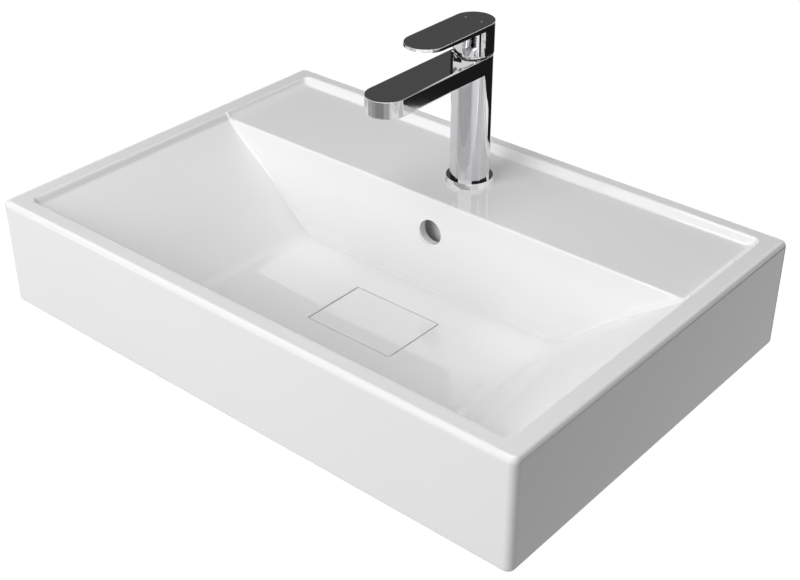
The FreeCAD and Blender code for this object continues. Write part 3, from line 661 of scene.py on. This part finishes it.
@dataclass
class Basin:
    """The glazed basin: outside, rim, tap deck, bowl, hollow underside and channels."""

    width: float = 655.0
    depth: float = 450.0
    height: float = 120.0
    fixing_height: float = 65.0
    corner_radius: float = 8.0
    top_edge_radius: float = 6.0
    bottom_edge_radius: float = 5.0
    rim_side: float = 21.5
    rim_front: float = 22.0
    rim_back: float = 17.0
    deck_drop: float = 7.6
    deck_step_run: float = 8.5
    deck_step_radius: float = 5.0
    deck_front: float = 151.0
    deck_thickness: float = 12.0
    brow_radius: float = 3.0
    rim_inner_radius: float = 4.0
    bowl_depth: float = 110.0
    floor_width: float = 340.0
    floor_fall: float = 1.8
    wall_batter: float = 10.0
    slope_crown: float = 4.2
    slope_crown_radius: float = 500.0
    slope_foot_radius: float = 34.0
    wall_foot_radius: float = 9.0
    slope_side_radius: float = 7.0
    deck_side_radius: float = 5.0
    slope_step_run: float = 5.0
    slope_step_radius: float = 6.0
    bowl_wall: float = 10.0
    side_skirt: float = 13.0
    back_panel: float = 14.0
    drain_centre: float = 246.0
    recess_half: tuple[float, float] = (56.05, 39.55)
    recess_depth: float = 26.0
    recess_edge: float = 1.2
    recess_corner: float = 2.0
    boss_wall: float = 12.0
    boss_floor: float = 12.0
    boss_corner: float = 8.0
    waste_hole_radius: float = 23.0
    overflow_radius: float = 14.0
    overflow_drop: float = 45.6
    overflow_lip: float = 1.6
    channel_width: float = 52.0
    channel_depth: float = 14.0
    channel_wall: float = 8.0
    channel_skin: float = 8.7
    duct_height: float = 12.0
    tap_centre: float = 89.0
    tap_hole_radius: float = 17.5
    wall_hole_radius: float = 8.0
    wall_hole_spacing: float = 280.0
    overrun: float = 1.0
    hair: float = 0.01
    arc_reach: tuple[float, float, float] = (0.36, 0.92, 0.39)
    wall_margin: float = 4.0
    brow_margin: float = 6.0
    step_margin: float = 17.0
    side_stops: tuple[float, ...] = (0.0, 150.0, 196.0, 294.0)
    side_lines: tuple[int, ...] = (13, 27, 34, 24)
    depth_lines: tuple[int, ...] = (52, 28, 52, 14, 30)
    corner_stops: tuple[float, ...] = (150.0, 190.0, 280.0, 297.0)
    halvings: int = 34

    def __post_init__(self) -> None:
        """Works out the levels that follow from the sizes."""
        self.bottom = -self.fixing_height
        self.rim = self.bottom + self.height
        self.deck = self.rim - self.deck_drop
        self.floor = self.rim - self.bowl_depth
        self.floor_edge = self.floor + self.floor_fall
        self.recess = self.floor - self.recess_depth
        self.boss = self.recess - self.boss_floor
        self.half_rim = self.width / 2 - self.rim_side
        self.half_floor = self.floor_width / 2
        self.overflow_level = self.rim - self.overflow_drop

    def back_wall(self, level: float) -> float:
        """Where the bowl's back wall is at a level."""
        return -self.deck_front - self.wall_batter * (self.deck - level) / (self.deck - self.floor)

    def across(self) -> np.ndarray:
        """Right half of the bowl's section across the basin, as (x, height) rows."""
        run, rise = self.half_rim - self.half_floor, self.rim - self.floor_edge
        length = math.hypot(run, rise)
        crown = (
            self.half_rim - run / 2 - self.slope_crown * rise / length,
            self.rim - rise / 2 + self.slope_crown * run / length,
            self.slope_crown_radius,
        )
        return rounded_path([
            (0.0, self.floor, 0.0),
            (self.recess_half[0], self.floor, 0.0),
            (self.half_floor, self.floor_edge, self.slope_foot_radius),
            crown,
            (self.half_rim - self.slope_step_run, self.deck, self.slope_step_radius),
            (self.half_rim, self.rim, self.rim_inner_radius),
            (self.width / 2, self.rim, 0.0),
        ], 24)

    def along(self) -> np.ndarray:
        """The bowl's section from the front rim to the back rim, as (y, height) rows, with no floor."""
        low = self.floor - 3 * self.wall_foot_radius
        lean = self.wall_batter * (low - self.floor) / self.bowl_depth
        front = -self.depth + self.rim_front
        return rounded_path([
            (-self.depth, self.rim, 0.0),
            (front, self.rim, self.rim_inner_radius),
            (front + self.wall_batter - lean, low, 0.0),
            (self.back_wall(low), low, 0.0),
            (-self.deck_front, self.deck, self.brow_radius),
            (-self.rim_back - self.deck_step_run, self.deck, self.deck_step_radius),
            (-self.rim_back, self.rim, self.deck_step_radius),
            (0.0, self.rim, 0.0),
        ], 16)

    def bowl(self) -> bpy.types.Object:
        """The space of the bowl and the tap deck, with softly filled corners.

        Each crossing of the grid has a distance a = (z - s) cos to the section across and
        b = (z - w) cos to the section along. The filled corner of radius r is where
        max(r, min(a, b)) equals the length of (max(r - a, 0), max(r - b, 0)); its height is
        found by halving an interval. The grid ends where the arcs at the sides, the front and
        the back run into the flat rim, at a share of their radii beyond the edge.

        Returns:
            The cutter.
        """
        across, along = self.across(), self.along()
        side_reach, front_reach, back_reach = self.arc_reach
        half = self.half_rim + self.rim_inner_radius * side_reach
        front = -self.depth + self.rim_front - self.rim_inner_radius * front_reach
        back = -self.rim_back + self.deck_step_radius * back_reach
        side = graded([*self.side_stops, half], self.side_lines)
        xs = np.concatenate([-side[:0:-1], side])
        wall = self.wall_batter + self.wall_foot_radius + self.wall_margin
        front_foot, back_foot = front + wall + self.wall_margin, -self.deck_front - wall
        brow_end, step_start = -self.deck_front + self.brow_margin, -self.rim_back - self.step_margin
        ys = graded([front, front_foot, back_foot, brow_end, step_start, back], self.depth_lines)
        slope = np.interp(np.abs(xs), across[:, 0], across[:, 1])
        wall_height = np.interp(ys, along[:, 0], along[:, 1])
        slope_cos = 1 / np.sqrt(1 + np.gradient(slope, xs) ** 2)
        wall_cos = 1 / np.sqrt(1 + np.gradient(wall_height, ys) ** 2)
        radii = [self.wall_foot_radius, self.slope_side_radius, self.slope_side_radius, self.deck_side_radius]
        corner = np.interp(np.abs(xs), self.corner_stops, radii)[:, None]
        low = np.full((len(xs), len(ys)), self.floor - self.overrun)
        high = np.full_like(low, self.rim + 9 * self.overrun)
        for _ in range(self.halvings):
            middle = (low + high) / 2
            a = (middle - slope[:, None]) * slope_cos[:, None]
            b = (middle - wall_height[None, :]) * wall_cos[None, :]
            gap = np.hypot(np.maximum(corner - a, 0), np.maximum(corner - b, 0))
            inside = np.maximum(corner, np.minimum(a, b)) < gap
            low = np.where(inside, middle, low)
            high = np.where(inside, high, middle)
        heights = np.minimum(high, self.rim)
        heights[0], heights[-1], heights[:, 0], heights[:, -1] = (self.rim,) * 4
        return field_solid("bowl_space", xs, ys, heights, self.rim + 5 * self.overrun)

    def outside(self) -> bpy.types.Object:
        """The outer block, its edges rounded by loops that shrink along quarter arcs."""
        turn = np.linspace(0, math.pi / 2, 9)
        low, high = self.bottom_edge_radius, self.top_edge_radius
        inset = np.concatenate([low * (1 - np.sin(turn)), high * (1 - np.cos(turn))])
        level = np.concatenate([self.bottom + low * (1 - np.cos(turn)), self.rim - high * (1 - np.sin(turn))])
        loops = []
        for shrink, height in zip(inset, level):
            flat = rounded_rectangle(self.width / 2 - shrink, self.depth / 2 - shrink, self.corner_radius - shrink)
            flat[:, 1] -= self.depth / 2
            loops.append(np.column_stack([flat, np.full(len(flat), height)]))
        return loft("basin_body", np.array(loops))

    def pocket(self) -> bpy.types.Object:
        """The hollow underneath: below both slopes and behind the bowl."""
        run, rise = self.half_rim - self.half_floor, self.rim - self.floor_edge
        top = self.half_rim + self.bowl_wall * math.hypot(run, rise) / rise
        low, high = self.bottom - self.overrun, self.deck - self.deck_thickness
        foot, head = (top - run * (self.rim - level) / rise for level in (low, high))
        half = self.width / 2 - self.side_skirt
        side = np.concatenate([np.linspace(foot, head, 16), [half]])
        xs = np.concatenate([-side[::-1], side])
        ends = (self.back_wall(low) + self.bowl_wall, self.back_wall(high) + self.bowl_wall)
        ys = np.concatenate([[-self.depth + self.side_skirt], np.linspace(*ends, 16), [-self.back_panel]])
        across = self.rim - (top - np.abs(xs)) * rise / run
        along = low + (ys - ends[0]) * (high - low) / (ends[1] - ends[0])
        heights = np.clip(np.maximum(across[:, None], along[None, :]), low, high)
        return field_solid("pocket_space", xs, ys, heights, self.bottom - 5 * self.overrun)

    def recess_space(self) -> bpy.types.Object:
        """The drain recess with a softly flared mouth."""
        turn = np.linspace(0, math.pi / 2, 6)
        mouth = self.floor + 2 * self.hair
        grow = np.concatenate([[0.0], self.recess_edge * (1 - np.cos(turn)), [self.recess_edge]])
        flare = mouth - self.recess_edge * (1 - np.sin(turn))
        level = np.concatenate([[self.recess], flare, [mouth + 3 * self.overrun]])
        loops = []
        for wider, height in zip(grow, level):
            flat = rounded_rectangle(*(half + wider for half in (*self.recess_half, self.recess_corner)))
            flat[:, 1] -= self.drain_centre
            loops.append(np.column_stack([flat, np.full(len(flat), height)]))
        return loft("recess_space", np.array(loops))

    def boss_body(self) -> bpy.types.Object:
        """The boss below the drain."""
        flat = rounded_rectangle(*(half + self.boss_wall for half in self.recess_half), self.boss_corner)
        flat[:, 1] -= self.drain_centre
        levels = (self.boss, self.floor - self.bowl_wall / 2)
        return loft("boss", np.array([np.column_stack([flat, np.full(len(flat), z)]) for z in levels]))

    def channel(self, grow: float, top: float) -> list[bpy.types.Object]:
        """The overflow channel and its duct, or their casing when grown.

        Args:
            grow: widening on every side.
            top: upper end.

        Returns:
            The upright and the duct.
        """
        half = self.channel_width / 2 + grow
        front = self.back_wall(self.overflow_level) + self.channel_skin
        back = front + self.channel_depth + grow
        foot = self.bottom - self.duct_height - grow
        duct_top = min(self.bottom + grow, self.floor - self.bowl_wall / 2 - self.hair)
        recess_back = -self.drain_centre + self.recess_half[1] - self.overrun
        upright = block("upright", (-half, front - grow, foot), (half, back, top))
        low = (-half + self.hair, recess_back, foot + self.hair)
        high = (half - self.hair, back - self.hair, duct_top)
        return [upright, block("duct", low, high)]

    def overflow(self) -> bpy.types.Object:
        """The overflow hole, its mouth flared along a quarter arc."""
        face = self.back_wall(self.overflow_level)
        turn = np.linspace(0, math.pi / 2, 7)
        radius = self.overflow_radius + self.overflow_lip * (1 - np.sin(turn))
        reach = face - 10 * self.hair + self.overflow_lip * (1 - np.cos(turn))
        inner = [[self.overflow_radius, face + self.channel_skin + self.overrun]]
        outer = [[self.overflow_radius + self.overflow_lip, face - 3 * self.overrun]]
        profile = np.concatenate([outer, np.column_stack([radius, reach]), inner])
        return turned("overflow_space", profile, (0.0, 0.0, self.overflow_level), "Y")

    def hole(
        self, name: str, radius: float, centre: tuple[float, float, float], axis: str, length: float
    ) -> bpy.types.Object:
        """A round hole's cutter from a point along an axis.

        Args:
            name: the object's name.
            radius: its radius.
            centre: its start.
            axis: "Z" or "Y".
            length: its length.

        Returns:
            The cutter.
        """
        return turned(name, np.array([[radius, 0.0], [radius, length]]), centre, axis, 64)

    def build(self, finishes: Finishes) -> None:
        """Makes the basin in place of its node.

        Args:
            finishes: the finishes.
        """
        piece = self.outside()
        casing = self.channel(self.channel_wall, self.deck - self.deck_thickness + self.overrun)
        hollow = self.channel(0.0, self.overflow_level + self.overflow_radius + self.overflow_lip)
        steps = [(Cut.TAKE_AWAY, self.pocket()), (Cut.ADD, self.boss_body())]
        steps += [(Cut.ADD, tool) for tool in casing]
        steps += [(Cut.TAKE_AWAY, self.bowl()), (Cut.TAKE_AWAY, self.recess_space())]
        steps += [(Cut.TAKE_AWAY, tool) for tool in hollow]
        steps.append((Cut.TAKE_AWAY, self.overflow()))
        tap = (0.0, -self.tap_centre, 0.0)
        steps.append((Cut.TAKE_AWAY, self.hole("tap_hole", self.tap_hole_radius, tap, "Z", self.rim)))
        drain = (0.0, -self.drain_centre, self.boss - self.overrun)
        length = self.boss_floor + 2 * self.overrun
        steps.append((Cut.TAKE_AWAY, self.hole("waste_hole", self.waste_hole_radius, drain, "Z", length)))
        for side in (-1, 1):
            start = (side * self.wall_hole_spacing / 2, -self.back_panel - self.overrun, 0.0)
            depth = self.back_panel + 2 * self.overrun
            steps.append((Cut.TAKE_AWAY, self.hole("wall_hole", self.wall_hole_radius, start, "Y", depth)))
        combine(piece, steps)
        piece.name = "basin_glazed"
        soften(piece, BASIN_SHARP_ANGLE)
        settle(piece, Body.BASIN, "basin", finishes.glaze)


class Tap:
    """The chrome tap above the deck."""

    def build(self, finishes: Finishes) -> None:
        """Makes the chrome pieces.

        Args:
            finishes: the finishes.
        """
        for node in ("tap_body", "base_ring", "dome_ring", "aerator_shell"):
            polished_copy(node, Body.BASIN, finishes.chrome)
        polished_copy("lever", Body.LEVER, finishes.marked)
        polished_copy("screw_plug", Body.LEVER, finishes.chrome)


class Drain:
    """The cover over the waste and the waste's chrome flange."""

    def build(self, finishes: Finishes) -> None:
        """Makes the pieces.

        Args:
            finishes: the finishes.
        """
        polished_copy("drain_cover", Body.COVER, finishes.glaze)
        polished_copy("waste_body", Body.BASIN, finishes.chrome)


class HiddenParts:
    """The nodes that keep their own surface and get a finish."""

    def build(self, finishes: Finishes) -> None:
        """Gives each node its finish.

        Args:
            finishes: the finishes.
        """
        groups = {
            "rubber": ("cover_pads", "flange_seal", "lower_seal", "base_seal", "aerator_washer",
                       "rubber_horseshoe", "base_gasket", "chamber_seal"),
            "brass": ("waste_backnut", "fixing_nut", "stem", "retaining_nut"),
            "steel": ("fixing_stud", "metal_horseshoe", "pivot_pin", "grub_screw"),
            "plastic": ("slip_washer", "aerator_insert", "cartridge_base", "disc_driver", "rotor",
                        "cartridge_housing"),
            "disc": ("fixed_disc", "moving_disc"),
        }
        for finish, nodes in groups.items():
            for node in nodes:
                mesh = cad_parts[node].data
                mesh.materials.clear()
                mesh.materials.append(getattr(finishes, finish))


@dataclass
class Studio:
    """Camera, soft light, floor, white surroundings and the boards that paint reflections into the chrome and
    glaze.
    """

    camera_place: tuple[float, float, float] = (0.8141, -1.1611, 0.7503)
    azimuth: float = 40.36
    elevation: float = 32.11
    lens: float = 63.75
    sensor_width: float = 36.0
    clip: tuple[float, float] = (0.05, 50.0)
    world_strength: float = 0.173
    key_direction: tuple[float, float, float] = (-0.15, -0.85, 0.45)
    key_power: float = 46.0
    top_power: float = 24.3
    lamp_target: tuple[float, float, float] = (0.0, -0.2, 0.05)
    lamp_distance: float = 2.4
    lamp_size: float = 1.8
    floor_grey: float = 0.42
    floor_reach: float = 16.0
    floor_glow: float = 1.075
    glow_share: float = 0.93
    # Tones of the boards that only polished surfaces show: painted reflections in the chrome and glaze.
    board_centre: float = -0.09
    black: float = 0.012
    dark: float = 0.02
    dim: float = 0.08
    grey: float = 0.35
    painted_reflection_tones: tuple[float, ...] = (0.42, 0.34, 0.26, 0.40)
    arc_points: int = 16
    mirrored_bounces: int = 10

    def camera(self) -> None:
        """Sets the camera at the photograph's angle."""
        data = bpy.data.cameras.new("camera")
        data.lens, data.sensor_width = self.lens, self.sensor_width
        data.clip_start, data.clip_end = self.clip
        view = bpy.data.objects.new("camera", data)
        bpy.context.scene.collection.objects.link(view)
        turn, lift = math.radians(self.azimuth), math.radians(self.elevation)
        back = Vector((math.sin(turn) * math.cos(lift), -math.cos(turn) * math.cos(lift), math.sin(lift)))
        right = Vector((math.cos(turn), math.sin(turn), 0.0))
        up = back.cross(right)
        matrix = Matrix((right, up, back)).transposed().to_4x4()
        matrix.translation = Vector(self.camera_place)
        view.matrix_world = matrix
        bpy.context.scene.camera = view

    def lamp(self, name: str, direction: tuple[float, float, float], power: float, mirrored: bool) -> None:
        """A wide square area lamp aimed at the basin.

        Args:
            name: the lamp's name.
            direction: where it stands, from the basin.
            power: its power in watts.
            mirrored: whether polished surfaces show it.
        """
        data = bpy.data.lights.new(name, "AREA")
        data.shape, data.size, data.energy = "SQUARE", self.lamp_size, power
        lamp = bpy.data.objects.new(name, data)
        bpy.context.scene.collection.objects.link(lamp)
        away = Vector(direction).normalized()
        lamp.location = Vector(self.lamp_target) + away * self.lamp_distance
        lamp.rotation_euler = away.to_track_quat("Z", "Y").to_euler()
        lamp.visible_glossy = mirrored

    def sheet(self, name: str, rows: np.ndarray) -> tuple[bpy.types.Object, ShaderTree]:
        """A flat sheet of the studio, with an empty material.

        Args:
            name: its name.
            rows: two rows of points, in metres.

        Returns:
            The sheet and its material's tree.
        """
        made = solid(name, rows.reshape(-1, 3) / MM, quad_rows(2, rows.shape[1], False).tolist())
        tree = ShaderTree(bpy.data.materials.new(name))
        made.data.materials.append(tree.owner)
        return made, tree

    def floor(self) -> None:
        """A wide white floor that keeps a faint shadow."""
        reach = self.floor_reach
        rows = np.array([[[x, y, FLOOR_LEVEL] for x in (-reach, reach)] for y in (-reach, reach)])
        _, tree = self.sheet("floor", rows)
        grey = (self.floor_grey, self.floor_grey, self.floor_grey, 1.0)
        matte = tree.node("ShaderNodeBsdfDiffuse", {}, {"Color": grey})
        glow = tree.node("ShaderNodeEmission", {}, {"Color": WHITE, "Strength": self.floor_glow})
        share = tree.background_rays() * self.glow_share
        tree.finish(tree.node("ShaderNodeMixShader", {}, {0: share, 1: matte, 2: glow}))

    def board(self, name: str, rows: np.ndarray, tone: float) -> None:
        """A grey or black board that only polished surfaces show: a painted reflection, a sheet that the camera
        doesn't see and that casts no light or shadow.

        Args:
            name: its name.
            rows: two rows of points, in metres.
            tone: its grey.
        """
        made, tree = self.sheet(name, rows)
        tree.finish(tree.node("ShaderNodeEmission", {}, {"Color": (tone, tone, tone, 1.0), "Strength": 1.0}))
        for kind in ("camera", "diffuse", "transmission", "shadow"):
            setattr(made, f"visible_{kind}", False)

    def ring(
        self, span: tuple[float, float], radii: tuple[float, float], y: float, heights: tuple[float, float]
    ) -> np.ndarray:
        """Two rows of points along arcs round an upright axis at x = 0.

        At a turn t from the front towards the right the point at radius r is (r sin t, y - r cos t).

        Args:
            span: first and last turn, in degrees.
            radii: radius of each row.
            y: place of the axis.
            heights: height of each row.

        Returns:
            The rows.
        """
        turn = np.radians(np.linspace(span[0], span[1], self.arc_points))
        rows = [np.stack([radius * np.sin(turn), y - radius * np.cos(turn), np.full(len(turn), height)], axis=1)
                for radius, height in zip(radii, heights)]
        return np.array(rows)

    def boards(self) -> None:
        """Painted reflections: boards that give the chrome its dark and grey bands, wide ones round the basin and
        above it, narrow ones at the tap.
        """
        centre, low, upright = self.board_centre, (BOARD_LEVEL, BOARD_LEVEL), (0.8, 2.0)
        near, far = (1.5, 2.1), (2.1, 4.0)
        right, left, rear = (72.0, 190.0), (225.0, 292.0), (149.0, 190.0)
        overhead = np.array([[[-3.2, y, 1.45], [-0.3, y, 1.45]] for y in (0.6, 3.4)])
        boards = [
            ("right_board", self.ring(right, near, centre, low), self.black),
            ("far_right_board", self.ring(right, far, centre, low), self.grey),
            ("left_board", self.ring(left, near, centre, low), self.black),
            ("far_left_board", self.ring(left, far, centre, low), self.grey),
            ("rear_board", self.ring(rear, (0.3, 1.5), centre, low), self.black),
            ("high_board", overhead, self.dim),
        ]
        # Narrow glowing strips close round the spout's tip: painted reflections that give the spout its grey
        # bands.
        spans = ((-60.0, -32.0), (-32.0, -14.0), (-14.0, 28.0), (28.0, 52.0))
        for number, (span, tone) in enumerate(zip(spans, self.painted_reflection_tones)):
            boards.append((f"strip_{number}", self.ring(span, (0.12, 0.12), SPOUT_TIP_Y, (0.120, 0.151)), tone))
        boards += [
            # Painted reflections: dark boards in front, and a black strip beside the column that paints the
            # column's dark stripe.
            ("front_left_board", self.ring((-110.0, -30.0), (3.0, 3.0), centre, upright), self.dark),
            ("front_right_board", self.ring((50.0, 152.0), (3.0, 3.0), centre, upright), self.dark),
            ("painted_reflection_column_strip", self.ring((114.0, 150.0), (0.10, 0.10), TAP_Y, (0.100, 0.165)), self.black),
        ]
        for name, rows, tone in boards:
            self.board(name, rows, tone)

    def world(self) -> None:
        """White where the background shows, an even grey for the light on the object."""
        world = bpy.data.worlds.new("surroundings")
        tree = ShaderTree(world)
        strength = tree.background_rays() * (1.0 - self.world_strength) + self.world_strength
        shade = tree.node("ShaderNodeBackground", {}, {"Color": WHITE, "Strength": strength})
        bpy.context.scene.world = tree.finish(shade, "ShaderNodeOutputWorld")

    def build(self) -> None:
        """Builds the studio."""
        self.camera()
        self.floor()
        self.boards()
        self.world()
        self.lamp("key", self.key_direction, self.key_power, False)
        self.lamp("top", (0.0, 0.0, 1.0), self.top_power, True)
        bpy.context.scene.view_settings.view_transform = "Standard"
        bpy.context.scene.cycles.glossy_bounces = self.mirrored_bounces


def main() -> None:
    """Builds every sub-assembly and the studio."""
    logging.basicConfig(level=logging.INFO, format="%(message)s")
    finishes = Finishes()
    for part in (Basin(), Tap(), Drain(), HiddenParts()):
        part.build(finishes)
        LOG.info("%s done", type(part).__name__)
    Studio().build()


if __name__ == "__main__":
    main()
